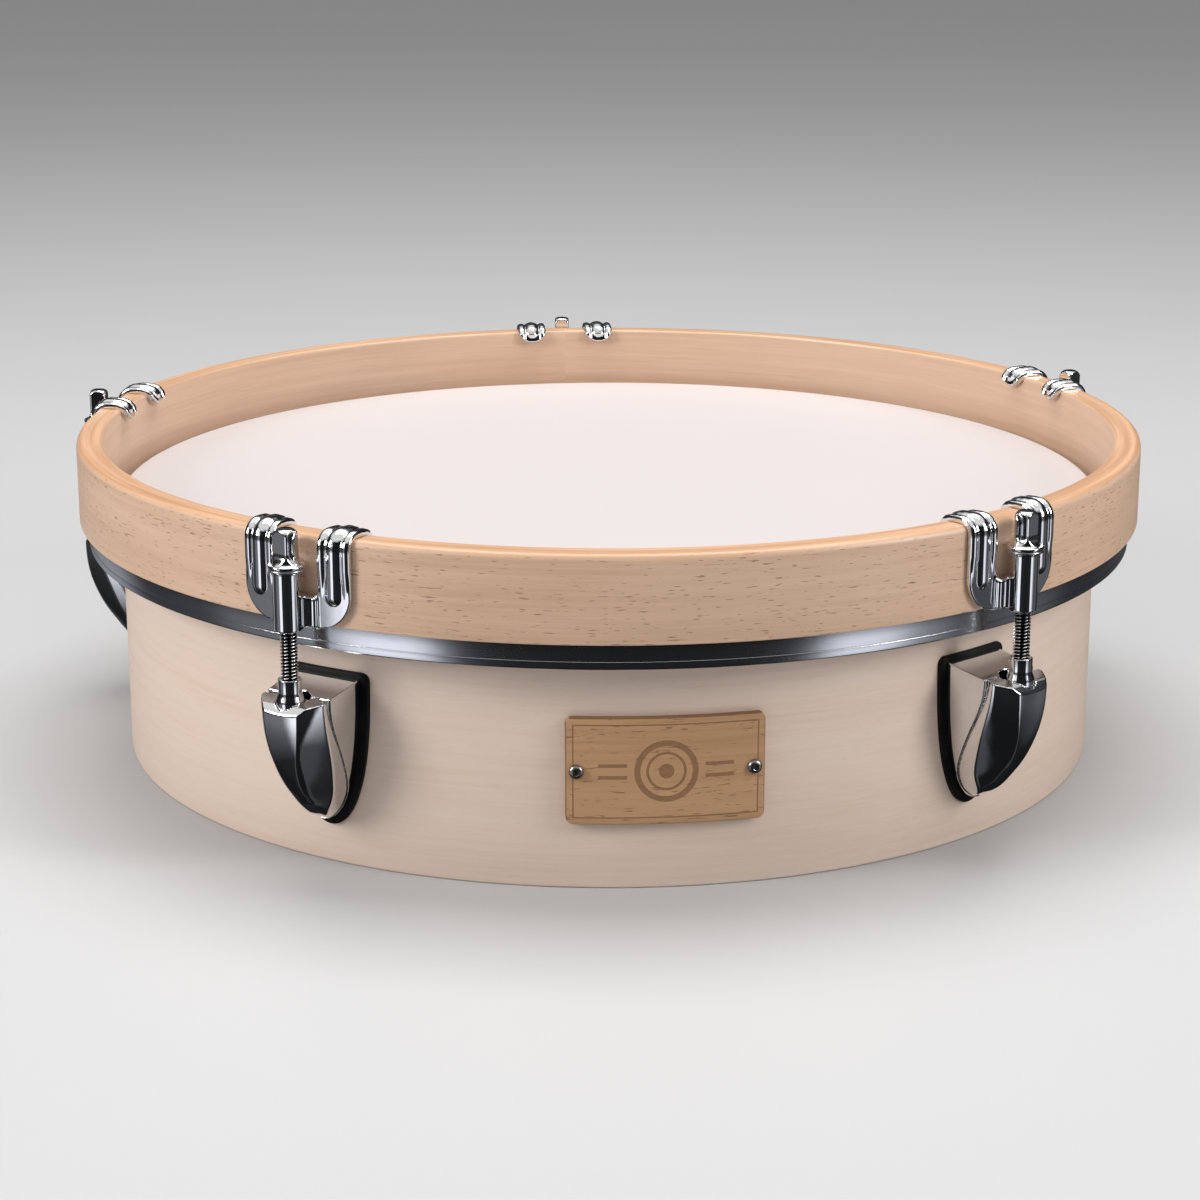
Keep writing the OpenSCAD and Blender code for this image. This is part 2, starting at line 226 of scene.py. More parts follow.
def corner_box(qx, qy, r):
    """Distance to a box corner rounded to radius r; q is measured from the arc's centre."""
    return np.hypot(np.maximum(qx, 0), np.maximum(qy, 0)) + np.minimum(np.maximum(qx, qy), 0) - r


def along(path, r, z):
    """Where points of the (radius, height) plane stand to a path: signed offset, outer side
    positive, plain distance, and how far along it."""
    best = np.full(r.shape, 1e9)
    off = np.zeros(r.shape)
    where = np.zeros(r.shape)
    start = 0.0
    for (r0, z0), (r1, z1) in zip(path[:-1], path[1:]):
        dr, dz = r1 - r0, z1 - z0
        length = math.hypot(dr, dz)
        t = np.clip(((r - r0) * dr + (z - z0) * dz) / length ** 2, 0, 1)
        qr, qz = r - r0 - t * dr, z - z0 - t * dz
        d = np.hypot(qr, qz)
        m = d < best
        best = np.where(m, d, best)
        off = np.where(m, np.where(dz * qr - dr * qz > 0, d, -d), off)
        where = np.where(m, start + t * length, where)
        start += length
    return off, best, where


def surface_net(field, lo, hi, h):
    """Meshes field = 0: one point in each cell that the surface crosses, moved onto it."""
    axes = [np.arange(lo[i], hi[i] + h, h) for i in range(3)]
    g = np.meshgrid(*axes, indexing="ij")
    inside = field(*g) < 0
    n = [len(a) - 1 for a in axes]
    count = np.zeros(n, int)
    for dx in (0, 1):
        for dy in (0, 1):
            for dz in (0, 1):
                count += inside[dx:dx + n[0], dy:dy + n[1], dz:dz + n[2]]
    active = (count > 0) & (count < 8)
    ids = np.full(n, -1)
    ids[active] = np.arange(active.sum())
    cell = np.argwhere(active)
    centre = np.stack([axes[i][cell[:, i]] + h / 2 for i in range(3)], axis=-1)
    p = centre.copy()
    e = 0.02

    def slope(q):
        return np.stack([field(*(q + np.eye(3)[i] * e).T) - field(*(q - np.eye(3)[i] * e).T)
                         for i in range(3)], axis=-1) / (2 * e)

    for _ in range(6):
        gr = slope(p)
        step = (field(*p.T) / np.maximum((gr ** 2).sum(1), 0.05))[:, None] * gr
        p = np.clip(p - np.clip(step, -h, h) * 0.8, centre - 0.9 * h, centre + 0.9 * h)
    nrm = slope(p)
    nrm /= np.maximum(np.linalg.norm(nrm, axis=1), 1e-9)[:, None]
    faces = []
    for ax in range(3):
        b, c = (ax + 1) % 3, (ax + 2) % 3
        first = np.take(inside, range(0, inside.shape[ax] - 1), ax)
        second = np.take(inside, range(1, inside.shape[ax]), ax)
        at = np.argwhere(first != second)
        at = at[(at[:, b] > 0) & (at[:, c] > 0) & (at[:, b] < n[b]) & (at[:, c] < n[c])]
        out = first[tuple(at.T)]
        quad = []
        for ob, oc in ((-1, -1), (0, -1), (0, 0), (-1, 0)):
            q = at.copy()
            q[:, b] += ob
            q[:, c] += oc
            quad.append(ids[tuple(q.T)])
        quad = np.stack(quad, axis=-1)
        quad[~out] = quad[~out][:, ::-1]
        faces.append(quad)
    return p, np.concatenate(faces), nrm


# ---------------------------------------------------------------- materials

class Tree:
    """Builds a material's or the world's node tree in few words. Where a value is asked for, a
    number, a colour, a node or one of its outputs will do."""

    def __init__(self, name, world=False):
        self.mat = bpy.data.worlds.new(name) if world else bpy.data.materials.new(name)
        self.mat.use_nodes = True
        self.nt = self.mat.node_tree
        self.nt.nodes.clear()
        self.out = self.nt.nodes.new("ShaderNodeOutput" + ("World" if world else "Material"))
        self.bsdf = self.nt.nodes.new("ShaderNodeBackground" if world
                                      else "ShaderNodeBsdfPrincipled")
        self.nt.links.new(self.bsdf.outputs[0], self.out.inputs[0])

    def node(self, kind, ins=None, **props):
        n = self.nt.nodes.new("ShaderNode" + kind)
        for k, v in props.items():
            setattr(n, k, v)
        for k, v in (ins or {}).items():
            self.put(n.inputs[k], v)
        return n

    def put(self, socket, v):
        if isinstance(v, bpy.types.NodeSocket):
            self.nt.links.new(v, socket)
        elif isinstance(v, bpy.types.Node):
            self.nt.links.new(v.outputs[0], socket)
        else:
            socket.default_value = v

    def math(self, op, a, b=None, c=None, clamp=False):
        n = self.nt.nodes.new("ShaderNodeMath")
        n.operation = op
        n.use_clamp = clamp
        for i, v in enumerate((a, b, c)):
            if v is not None:
                self.put(n.inputs[i], v)
        return n.outputs[0]

    def add(self, a, b):
        return self.math("ADD", a, b)

    def sub(self, a, b):
        return self.math("SUBTRACT", a, b)

    def mul(self, a, b):
        return self.math("MULTIPLY", a, b)

    def scaled(self, vec, s, shift=(0, 0, 0)):
        m = self.node("Mapping", {"Vector": vec, "Scale": s, "Location": shift})
        return m.outputs[0]

    def noise(self, vec, scale, detail=3.0, rough=0.5, distort=0.0):
        n = self.node("TexNoise", {"Vector": vec, "Scale": scale, "Detail": detail,
                                   "Roughness": rough, "Distortion": distort})
        return n.outputs[0]

    def ramp(self, fac, stops, mode="LINEAR"):
        n = self.nt.nodes.new("ShaderNodeValToRGB")
        n.color_ramp.interpolation = mode
        e = n.color_ramp.elements
        while len(e) < len(stops):
            e.new(0.5)
        for q, (pos, col) in zip(e, stops):
            q.position = pos
            q.color = (*col, 1) if isinstance(col, (tuple, list)) else (col, col, col, 1)
        self.put(n.inputs[0], fac)
        return n.outputs[0]

    def mix(self, fac, a, b, mode="MIX"):
        n = self.nt.nodes.new("ShaderNodeMix")
        n.data_type = "RGBA"
        n.blend_type = mode
        self.put(n.inputs[0], fac)
        for i, v in ((6, a), (7, b)):
            self.put(n.inputs[i], (*v, 1) if isinstance(v, tuple) and len(v) == 3 else v)
        return n.outputs[2]

    def bump(self, height, strength, dist):
        n = self.node("Bump", {"Height": height, "Strength": strength, "Distance": dist})
        return n.outputs[0]

    def set(self, **kw):
        """Fills the shader's sockets; an underscore stands for a space in a socket's name."""
        for k, v in kw.items():
            v = (*v, 1) if isinstance(v, tuple) and len(v) == 3 else v
            self.put(self.bsdf.inputs[k.replace("_", " ")], v)
        return self.mat


PLY_T = 2.1


def grain_of(t):
    """The mesh's own grain coordinates: along the grain, across it, depth."""
    return t.node("Attribute", attribute_name="grain").outputs["Vector"]


def wood(name, pale, mid, dark, fleck, fleck_amount, rough, seed, calm=None):
    """Sliced hardwood with its grain running round the drum: broad tone changes, fine fibres,
    and short dark rays, which fade out towards the radius calm, in metres."""
    t = Tree(name)
    g = grain_of(t)
    broad = t.noise(t.scaled(g, (5, 40, 20), (seed, 0, 0)), 1.0, 4, 0.55, 0.6)
    streak = t.noise(t.scaled(g, (9, 420, 60), (seed, 3, 0)), 1.0, 3, 0.6, 0.25)
    fibre = t.noise(t.scaled(g, (60, 2600, 500), (seed, 7, 0)), 1.0, 2, 0.5)
    tone = t.add(t.mul(broad, 0.42), t.mul(streak, 0.38))
    tone = t.add(tone, t.mul(fibre, 0.2))
    col = t.ramp(tone, [(0.34, dark), (0.5, mid), (0.66, pale)])
    ray = t.noise(t.scaled(g, (210, 1500, 900), (seed, 11, 0)), 1.0, 1.0, 0.4)
    patch = t.noise(t.scaled(g, (25, 70, 60), (seed, 17, 0)), 1.0, 2, 0.5)
    cut = t.add(ray, t.mul(t.sub(patch, 0.5), 0.16))
    rays = t.ramp(cut, [(0.655, 0.0), (0.72, 1.0)])
    if calm:
        radius = t.node("SeparateXYZ", {0: g}).outputs[2]
        out = t.math("MULTIPLY_ADD", t.sub(radius, calm), 200.0, 0.12, clamp=True)
        rays = t.mul(rays, out)
    col = t.mix(t.mul(rays, fleck_amount), col, fleck)
    height = t.sub(t.mul(fibre, 0.35), t.mul(rays, 0.6))
    rgh = t.add(rough, t.mul(streak, 0.12))
    return t, col, height, rgh, g


def beech_hoop():
    """Steamed beech ply, whose rim shows the layers end on, darker and with fine glue lines."""
    t, col, height, rgh, g = wood("steamed_beech", (0.715, 0.50, 0.355), (0.655, 0.44, 0.305),
                                  (0.57, 0.37, 0.245), (0.27, 0.14, 0.08), 0.75, 0.36, 2.0,
                                  calm=(HOOP_IN + 1.0) * MM)
    normal = t.node("NewGeometry").outputs["Normal"]
    up = t.node("SeparateXYZ", {0: normal}).outputs[2]
    rim = t.ramp(up, [(0.35, 0.0), (0.85, 1.0)])
    radius = t.node("SeparateXYZ", {0: g}).outputs[2]
    ply = t.math("FRACT", t.mul(t.sub(radius, HOOP_IN * MM), 1 / (PLY_T * MM)))
    glue = t.ramp(ply, [(0.0, 1.0), (0.07, 0.25), (0.12, 0.0)])
    layer = t.noise(t.scaled(g, (14, 60, 480), (9, 0, 0)), 1.0, 2, 0.5)
    rim_col = t.ramp(layer, [(0.35, (0.48, 0.26, 0.135)), (0.65, (0.66, 0.40, 0.24))])
    rim_col = t.mix(t.mul(glue, 0.55), rim_col, (0.30, 0.145, 0.07))
    col = t.mix(t.mul(rim, 0.9), col, rim_col)
    return t.set(Base_Color=col, Roughness=rgh, Normal=t.bump(height, 0.35, 0.00012),
                 Coat_Weight=0.25, Coat_Roughness=0.3)


def pale_shell():
    """Pale maple ply with the wavy dark lines of its growth rings."""
    t, col, height, rgh, g = wood("pale_maple", (0.79, 0.645, 0.545), (0.765, 0.61, 0.505),
                                  (0.71, 0.55, 0.44), (0.56, 0.41, 0.30), 0.12, 0.42, 31.0)
    wave = t.noise(t.scaled(g, (7, 150, 40), (4, 4, 0)), 1.0, 3, 0.6, 1.2)
    lines = t.ramp(t.math("FRACT", t.mul(wave, 9.0)),
                   [(0.0, 0.0), (0.45, 0.5), (0.5, 1.0), (0.55, 0.4), (1.0, 0.0)])
    col = t.mix(t.mul(lines, 0.13), col, (0.60, 0.43, 0.29))
    return t.set(Base_Color=col, Roughness=rgh, Normal=t.bump(height, 0.25, 0.0001),
                 Coat_Weight=0.15, Coat_Roughness=0.35)


def film():
    """Matt white film, slightly uneven in tone."""
    t = Tree("matt_white_film")
    p = t.node("TexCoord").outputs["Object"]
    cloud = t.noise(p, 9.0, 4, 0.5)
    grit = t.noise(p, 2600.0, 2, 0.5)
    col = t.mix(cloud, (0.53, 0.487, 0.48), (0.548, 0.505, 0.497))
    rgh = t.add(0.46, t.mul(grit, 0.1))
    return t.set(Base_Color=col, Roughness=rgh, Normal=t.bump(grit, 0.08, 0.00003))


def aluminium():
    """Satin metal, brushed along its length and faintly marked."""
    t = Tree("satin_aluminium")
    g = grain_of(t)
    brush = t.noise(t.scaled(g, (25, 5200, 5200)), 1.0, 3, 0.6)
    mark = t.noise(t.scaled(g, (60, 700, 700), (5, 0, 0)), 1.0, 3, 0.65)
    col = t.mix(brush, (0.70, 0.72, 0.76), (0.86, 0.865, 0.89))
    col = t.mix(t.mul(mark, 0.25), col, (0.52, 0.54, 0.58))
    rgh = t.add(0.13, t.mul(brush, 0.12))
    return t.set(Base_Color=col, Metallic=1.0, Roughness=rgh,
                 Normal=t.bump(brush, 0.2, 0.00003))


def chrome(name, tint=(0.79, 0.80, 0.815), rough=0.045, wave=0.05, root=None):
    """Plated metal: nearly a mirror, with a faint unevenness of the casting under it. Inside the
    radius root, in millimetres, as in the roots of a thread, it is painted nearly black: painted
    shade for the thread's grooves."""
    t = Tree(name)
    p = t.node("TexCoord").outputs["Object"]
    cast = t.noise(p, 110.0, 2, 0.5)
    haze = t.noise(p, 420.0, 4, 0.65)
    col = t.mix(haze, tuple(c * 0.93 for c in tint), tint)
    if root:
        radius = t.node("SeparateXYZ", {0: grain_of(t)}).outputs[2]
        painted_root_shade = t.math("MULTIPLY_ADD", t.sub(root * MM, radius), 4000.0, 0.5, clamp=True)
        # painted shade: the colour goes nearly black inside the root radius, where the thread's
        # grooves fall dark
        col = t.mix(painted_root_shade, col, (0.03, 0.03, 0.032))
    rgh = t.add(rough, t.mul(t.ramp(haze, [(0.45, 0.0), (0.75, 1.0)]), 0.06))
    return t.set(Base_Color=col, Metallic=1.0, Roughness=rgh, Normal=t.bump(cast, wave, 0.001))


def plated_steel(name, light, dark, rough):
    """Dull plated steel, mottled between two tones."""
    t = Tree(name)
    p = t.node("TexCoord").outputs["Object"]
    fine = t.noise(p, 900.0, 3, 0.6)
    col = t.mix(fine, dark, light)
    rgh = t.add(rough, t.mul(fine, 0.15))
    return t.set(Base_Color=col, Metallic=1.0, Roughness=rgh, Normal=t.bump(fine, 0.1, 0.0001))


def rubber():
    """Black rubber with a little dust."""
    t = Tree("black_rubber")
    p = t.node("TexCoord").outputs["Object"]
    fine = t.noise(p, 2200.0, 3, 0.6)
    dust = t.noise(p, 120.0, 4, 0.6)
    col = t.mix(t.ramp(dust, [(0.5, 0.0), (0.8, 1.0)]), (0.004, 0.004, 0.004),
                (0.012, 0.0115, 0.011))
    return t.set(Base_Color=col, Roughness=t.add(0.5, t.mul(fine, 0.2)),
                 Normal=t.bump(fine, 0.3, 0.00005), Specular_IOR_Level=0.25)


def plastic(name, a, b):
    """Plain moulded plastic, mottled between two tones."""
    t = Tree(name)
    p = t.node("TexCoord").outputs["Object"]
    fine = t.noise(p, 700.0, 3, 0.6)
    return t.set(Base_Color=t.mix(fine, a, b), Roughness=t.add(0.45, t.mul(fine, 0.2)),
                 Normal=t.bump(fine, 0.15, 0.0001))


def badge_wood():
    """Orange beech with a burnt border and a plain ring ornament."""
    t, col, height, rgh, g = wood("badge_beech", (0.55, 0.325, 0.175), (0.49, 0.28, 0.14),
                                  (0.42, 0.23, 0.11), (0.20, 0.10, 0.05), 0.7, 0.45, 77.0)
    sep = t.node("SeparateXYZ", {0: g})
    u = t.math("ABSOLUTE", sep.outputs[0])
    w = t.math("ABSOLUTE", sep.outputs[1])

    def near(value, middle, half):
        """1 where value is within half of middle, both in millimetres."""
        return t.math("LESS_THAN", t.math("ABSOLUTE", t.sub(value, middle * MM)), half * MM)

    def outside(across, up):
        """How far a point is outside a rectangle across and up millimetres from the middle."""
        return t.math("MAXIMUM", t.sub(u, across * MM), t.sub(w, up * MM))

    border = near(outside(33.5, 17.4), 0.0, 0.28)
    # two rings and a dot in the middle, flanked by bars
    rad = t.math("SQRT", t.add(t.mul(u, u), t.mul(w, w)))
    rings = t.math("MAXIMUM", near(rad, 10.5, 1.1), near(rad, 6.8, 0.5))
    dot = t.math("LESS_THAN", rad, 2.8 * MM)
    bars = t.mul(near(u, 19.3, 5.2), near(w, 2.2, 0.7))
    art = t.math("MAXIMUM", rings, t.math("MAXIMUM", dot, bars))
    front = t.math("GREATER_THAN", sep.outputs[2], (SHELL_R + 2.7) * MM)
    art = t.mul(t.math("MAXIMUM", art, border), front)
    scorch = t.noise(t.scaled(g, (900, 900, 900)), 1.0, 2, 0.5)
    burnt = t.mix(scorch, (0.20, 0.095, 0.04), (0.30, 0.155, 0.07))
    col = t.mix(t.mul(art, 0.85), col, burnt)
    # the cut edge is scorched
    edge = t.math("GREATER_THAN", outside(35.8, 19.7), 0.0)
    col = t.mix(t.mul(edge, 0.75), col, (0.16, 0.075, 0.035))
    height = t.sub(height, t.mul(art, 1.2))
    return t.set(Base_Color=col, Roughness=rgh, Normal=t.bump(height, 0.4, 0.00015))


BEECH = beech_hoop()
MAPLE = pale_shell()
FILM = film()
ALU = aluminium()
CHROME = chrome("polished_chrome")
# the rods' chrome, with painted shade in the thread roots
ROD_CHROME = chrome("rod_chrome", (0.80, 0.81, 0.825), 0.06, 0.02, root=2.85)
STEEL = plated_steel("zinc_steel", (0.66, 0.67, 0.69), (0.5, 0.51, 0.53), 0.22)
DARK_STEEL = plated_steel("dark_steel", (0.46, 0.44, 0.42), (0.25, 0.24, 0.235), 0.25)
RUBBER = rubber()
NYLON = plastic("natural_nylon", (0.78, 0.77, 0.72), (0.86, 0.85, 0.81))
RESIN = plastic("cast_resin", (0.70, 0.68, 0.62), (0.80, 0.78, 0.73))
BADGE = badge_wood()


# ---------------------------------------------------------------- shell, hoop, head

def ring_piece(name, profile, body, material, node):
    """A ring about the drum's axis that replaces one node."""
    v, f, g = lathe(profile, 360)
    make(name, v, f, body, material, sharp=30.0, grain=g, replaces=[node])


shell_profile = rounded([(SHELL_IN, 0.0, 0.9), (SHELL_R, 0.0, 0.9),
                         (SHELL_R, SHELL_TOP, 2.4), (SHELL_R - 2.2, SHELL_TOP, 0.5),
                         (SHELL_IN, SHELL_TOP - 5.8, 1.0)], n=6)
ring_piece("shell_wood", shell_profile, "shell_body", MAPLE, "shell")

hoop_profile = rounded([(HOOP_IN, HOOP_Z, 0.7), (HOOP_R, HOOP_Z, 0.9),
                        (HOOP_R, HOOP_TOP, 3.1), (HOOP_IN, HOOP_TOP, 1.3)], n=8)
ring_piece("counterhoop_wood", hoop_profile, "hoop_body", BEECH, "counterhoop")

# a channel, open upwards, with a fine line scored round its outer wall
FLESH_IN = SHELL_R + 2.1
FLESH_TOP = FLESH_Z + 9.8
FLESH_LIP = FLESH_Z + 8.1
FLESH_T = 1.2
flesh_profile = rounded([
    (FLESH_IN, FLESH_Z, 0.5), (FLESH_R, FLESH_Z, 0.6), (FLESH_R, FLESH_Z + 2.9, 0.05),
    (FLESH_R - 0.07, FLESH_Z + 2.98), (FLESH_R - 0.07, FLESH_Z + 3.1),
    (FLESH_R - 0.01, FLESH_Z + 3.2, 0.05), (FLESH_R - 0.01, FLESH_TOP, 0.3),
    (FLESH_R - FLESH_T, FLESH_TOP, 0.2), (FLESH_R - FLESH_T, FLESH_Z + FLESH_T, 0.3),
    (FLESH_IN + FLESH_T, FLESH_Z + FLESH_T, 0.3), (FLESH_IN + FLESH_T, FLESH_LIP, 0.2),
    (FLESH_IN, FLESH_LIP, 0.2)], n=4)
ring_piece("flesh_hoop_channel", flesh_profile, "hoop_body", ALU,
           "flesh_hoop")


def film_path(d):
    """From the middle over the bearing edge and down into the channel, d under the surface."""
    bend = 2.9
    flat = [(r, HEAD_Z - d) for r in (0, 25, 60, 100, 140, 175, 192)]
    skirt = rounded([(SHELL_R + 0.72 - d, 102.0), (SHELL_R + 1.0 - d, 99.4, 2.0),
                     (204.1 - d * 0.8, 97.9 - d * 0.5, 1.2), (206.4 - d * 0.6, 96.4 - d * 0.8, 1.2),
                     (207.3 - d, 94.6 - d * 0.4, 1.0), (207.5 - d, 89.6)], closed=False, n=4)
    return flat + arc(SHELL_R - 2.2, HEAD_Z - bend, bend - d, 90, 0, 10) + skirt[1:]


FILM_T = 0.4
film_profile = film_path(FILM_T) + film_path(0.0)[::-1]
v, f, g = lathe(film_profile, 256, closed=False)
v, f = merge_axis(v, f)
make("head_film", v, f, "hoop_body", FILM, sharp=50, replaces=["drumhead_film"])


# ---------------------------------------------------------------- lugs and gaskets

def spline(xs, ys):
    """Natural cubic spline through a few points, for single values and arrays."""
    xs, ys = np.array(xs, float), np.array(ys, float)
    n = len(xs)
    h = np.diff(xs)
    a = np.eye(n)
    b = np.zeros(n)
    for i in range(1, n - 1):
        a[i, i - 1:i + 2] = h[i - 1], 2 * (h[i - 1] + h[i]), h[i]
        b[i] = 6 * ((ys[i + 1] - ys[i]) / h[i] - (ys[i] - ys[i - 1]) / h[i - 1])
    m = np.linalg.solve(a, b)

    def at(x):
        x = np.clip(x, xs[0], xs[-1])
        i = np.clip(np.searchsorted(xs, x) - 1, 0, n - 2)
        u, w = xs[i + 1] - x, x - xs[i]
        return ((m[i] * u ** 3 + m[i + 1] * w ** 3) / (6 * h[i])
                + (ys[i] / h[i] - m[i] * h[i] / 6) * u
                + (ys[i + 1] / h[i] - m[i + 1] * h[i] / 6) * w)
    return at


# A lug is a shield-shaped block with a front that is cut by an S-shaped groove from a faceted
# nose. Its sides taper and its underside rakes outwards; its top slopes down, has a chamfer in
# front and a blind oblong mouth. The splines give, by height: the nose's reach, the edge where
# its front meets its sides, half the width of its front facet, the middle of the groove, and
# the groove's width and depth.
LUG_LOW = 17.6
LUG_HALF = 14.35
LUG_TAPER = 0.035
LUG_RAKE = 0.25
LUG_SLOPE = 0.17
SHIELD_POWER = 2.4
FRONT_R = 232.6
CHAMFER = 1.8
MOUTH_R = 5.5
MOUTH_BACK = 223.0
MOUTH_FLOOR = 62.0
nose_reach = spline([17.6, 21.5, 25.5, 30, 35, 40, 47, 54, 62, 73],
                    [206.5, 213, 218.3, 222, 225.4, 228, 230.6, 232.1, 232.8, 232.6])
nose_edge = spline([17.6, 22, 25, 31, 38, 46, 54, 62, 70, 73],
                   [209, 211.9, 212.6, 213.6, 216, 218.9, 221.8, 224.2, 225.3, 225.5])
facet_half = spline([18, 30, 40, 47, 56, 62, 73], [2.2, 3.2, 4.7, 5.6, 7.0, 7.5, 7.6])
groove_mid = spline([16, 19, 22, 26, 31, 36, 41, 47, 54, 61, 66, 73],
                    [210.2, 208.4, 206.8, 205.9, 206.4, 208.2, 210.6, 213.6, 217.3, 220.4,
                     221.7, 222.5])
groove_w = spline([16, 45, 55, 60, 64, 68, 73], [0.35, 0.42, 0.6, 1.0, 1.6, 2.3, 2.7])
groove_d = spline([16, 45, 55, 60, 66, 73], [0.8, 0.8, 1.0, 1.3, 2.0, 2.3])


def slope_of(fn, z):
    """How fast a spline runs outwards with height."""
    return (fn(z + 0.05) - fn(z - 0.05)) / 0.1


def lug_top(r):
    """Height of the lug's top, which slopes down away from the shell."""
    return LUG_TOP - LUG_SLOPE * (r - LUG_R)


def shield(x, y, z):
    """Distance to the side wall of the lug, which tapers as it comes out from the shell."""
    out = np.maximum(x - LUG_R, 0.0)
    half = LUG_HALF - LUG_TAPER * out
    low = LUG_LOW + LUG_RAKE * out
    u = np.clip((z - low) / (LUG_TOP - low), -0.3, 1.0)
    q = np.abs(y) / half
    rise = 1 - u
    g = q ** 2 + rise ** SHIELD_POWER - 1
    gy = 2 * q / half
    gz = SHIELD_POWER * rise ** (SHIELD_POWER - 1) / (LUG_TOP - low)
    return g / np.maximum(np.hypot(gy, gz), 0.02)


def lug_front(x, y, z):
    """Distance to the nose's front: a flat facet between two slanting ones."""
    reach, edge, c = nose_reach(z), nose_edge(z), facet_half(z)
    u = np.clip((z - LUG_LOW) / (LUG_TOP - LUG_LOW), 0.02, 1.0)
    side = (LUG_HALF - 0.8) * np.sqrt(1 - (1 - u) ** SHIELD_POWER)
    lean = np.maximum(reach - edge, 0.2) / np.maximum(side - c, 1.5)
    flat = (x - reach) / np.sqrt(1 + slope_of(nose_reach, z) ** 2)
    slant = ((x - reach + (np.abs(y) - c) * lean)
             / np.sqrt(1 + lean ** 2 + slope_of(nose_edge, z) ** 2))
    soft = 0.7 + 2.5 * np.clip((50 - z) / 24, 0, 1)
    # the facets are slightly convex, which spreads their reflections
    bulge = 0.7 * (1 - np.clip(np.abs(y) / 8.5, 0, 1) ** 2) - 0.35
    across = np.clip((np.abs(y) - c) / np.maximum(side - c, 1.5), 0, 1)
    swell = 0.27 * 4 * across * (1 - across)
    return smax(flat - bulge, slant - swell, soft)


def lug_cut(f, x, y, z):
    """Cuts the sloping top with its chamfer, and the mouth for the nut."""
    top = (z - lug_top(x)) / 1.0143
    cham = ((x - FRONT_R) + (z - lug_top(FRONT_R)) + CHAMFER) / 1.414
    f = smax(f, smax(top, cham, 0.3), 0.45)
    mouth = np.hypot(y, x - np.clip(x, MOUTH_BACK, ROD_R)) - MOUTH_R
    return smax(f, -np.maximum(mouth, MOUTH_FLOOR - z), 0.35)


def lug_block(x, y, z):
    """The part behind the groove, with a slimmer core that reaches into the nose."""
    side = shield(x, y, z)
    lean = np.sqrt(1 + slope_of(groove_mid, z) ** 2)
    back = smax(side, (x - groove_mid(z)) / lean + groove_w(z) / 2, 0.4)
    core = np.maximum(side + groove_d(z), (x - groove_mid(z)) / lean - groove_w(z) / 2 - 0.6)
    core = np.maximum(core, lug_front(x, y, z) + 1.0)
    core = np.maximum(core, z - lug_top(x) + 0.5)
    f = np.minimum(back, core)
    return np.maximum(lug_cut(f, x, y, z), LUG_R - np.hypot(x, y))


def lug_nose(x, y, z):
    """The faceted part in front of the groove."""
    lean = np.sqrt(1 + slope_of(groove_mid, z) ** 2)
    f = smax(shield(x, y, z), lug_front(x, y, z), 0.45)
    f = smax(f, groove_w(z) / 2 - (x - groove_mid(z)) / lean, 0.35)
    return lug_cut(f, x, y, z)


block_v, block_f, block_n = surface_net(lug_block, (202.6, -15.6, 16.4), (226, 15.6, 74.4), 0.5)
nose_v, nose_f, nose_n = surface_net(lug_nose, (203.6, -15.6, 16.4), (234.4, 15.6, 73.4), 0.5)


GASKET_HALF = 17.3
GASKET_LOW = 15.2
GASKET_TOP = 75.2
GASKET_ROUND = 3.0


def gasket_outline(n=56):
    """The gasket seen from outside: a shield with a flat top and two round corners."""
    shoulder = GASKET_TOP - GASKET_ROUND
    side = []
    for i in range(n + 1):
        t = (i / n) ** 1.6
        side.append((GASKET_HALF * (1 - (1 - t) ** SHIELD_POWER) ** 0.476,
                     GASKET_LOW + (shoulder - GASKET_LOW) * t))
    corner = arc(GASKET_HALF - GASKET_ROUND, shoulder, GASKET_ROUND, 0, 90, 8)
    right = side + corner[1:]
    return right + [(-y, z) for y, z in right[:0:-1]]


def inset_outline(points, d):
    """The outline, which runs anticlockwise, moved inwards by d."""
    p = np.array(points, float)
    t = np.roll(p, -1, 0) - np.roll(p, 1, 0)
    t /= np.maximum(np.linalg.norm(t, axis=1), 1e-9)[:, None]
    return p - np.stack([t[:, 1], -t[:, 0]], axis=1) * d


def wrapped(points, r):
    """Points (y, z) put on a cylinder of radius r about the drum's axis."""
    return [(math.sqrt(r * r - y * y), y, z) for y, z in points]


def build_gasket():
    """A flat pad bent to the shell, with its outer edge rounded."""
    o = gasket_outline()
    rows = [(4.5, 0.03), (0.0, 0.03), (0.0, 1.1), (0.12, 1.5), (0.4, 1.82), (0.8, 1.95),
            (4.5, 1.97)]
    return loft([wrapped(inset_outline(o, inset), SHELL_R + out) for inset, out in rows])


gasket_v, gasket_f = build_gasket()

nut_profile = rounded([(3.24, 50.6), (3.8, 50.6, 0.2), (4.15, 51.0, 0.2), (4.15, 63.6, 0.4),
                       (5.3, 64.2, 0.3), (5.3, 69.4, 0.5), (4.35, 72.0, 0.8),
                       (4.35, NUT_TOP, 0.5), (3.6, NUT_TOP, 0.25), (3.24, NUT_TOP - 0.5)], n=5)

for k in STATION_NUMBERS:
    turn = station_turn(k)
    make(f"lug_block_{k}", block_v, block_f, "shell_body", CHROME,
         sharp=None, normals=block_n, replaces=[f"lug_{k}"], turn=turn)
    make(f"lug_nose_{k}", nose_v, nose_f, "shell_body", CHROME,
         sharp=None, normals=nose_n, replaces=[f"lug_{k}"], turn=turn)
    make(f"lug_pad_{k}", gasket_v, gasket_f, "shell_body", RUBBER,
         sharp=40, replaces=[f"lug_gasket_{k}"], turn=turn)
    v, f, _ = lathe(nut_profile, 64)
    v = v + np.array([ROD_R, 0, 0])
    make(f"swivel_nut_turned_{k}", v, f, "shell_body", CHROME,
         sharp=35, replaces=[f"swivel_nut_{k}"], turn=turn)


# ---------------------------------------------------------------- claws

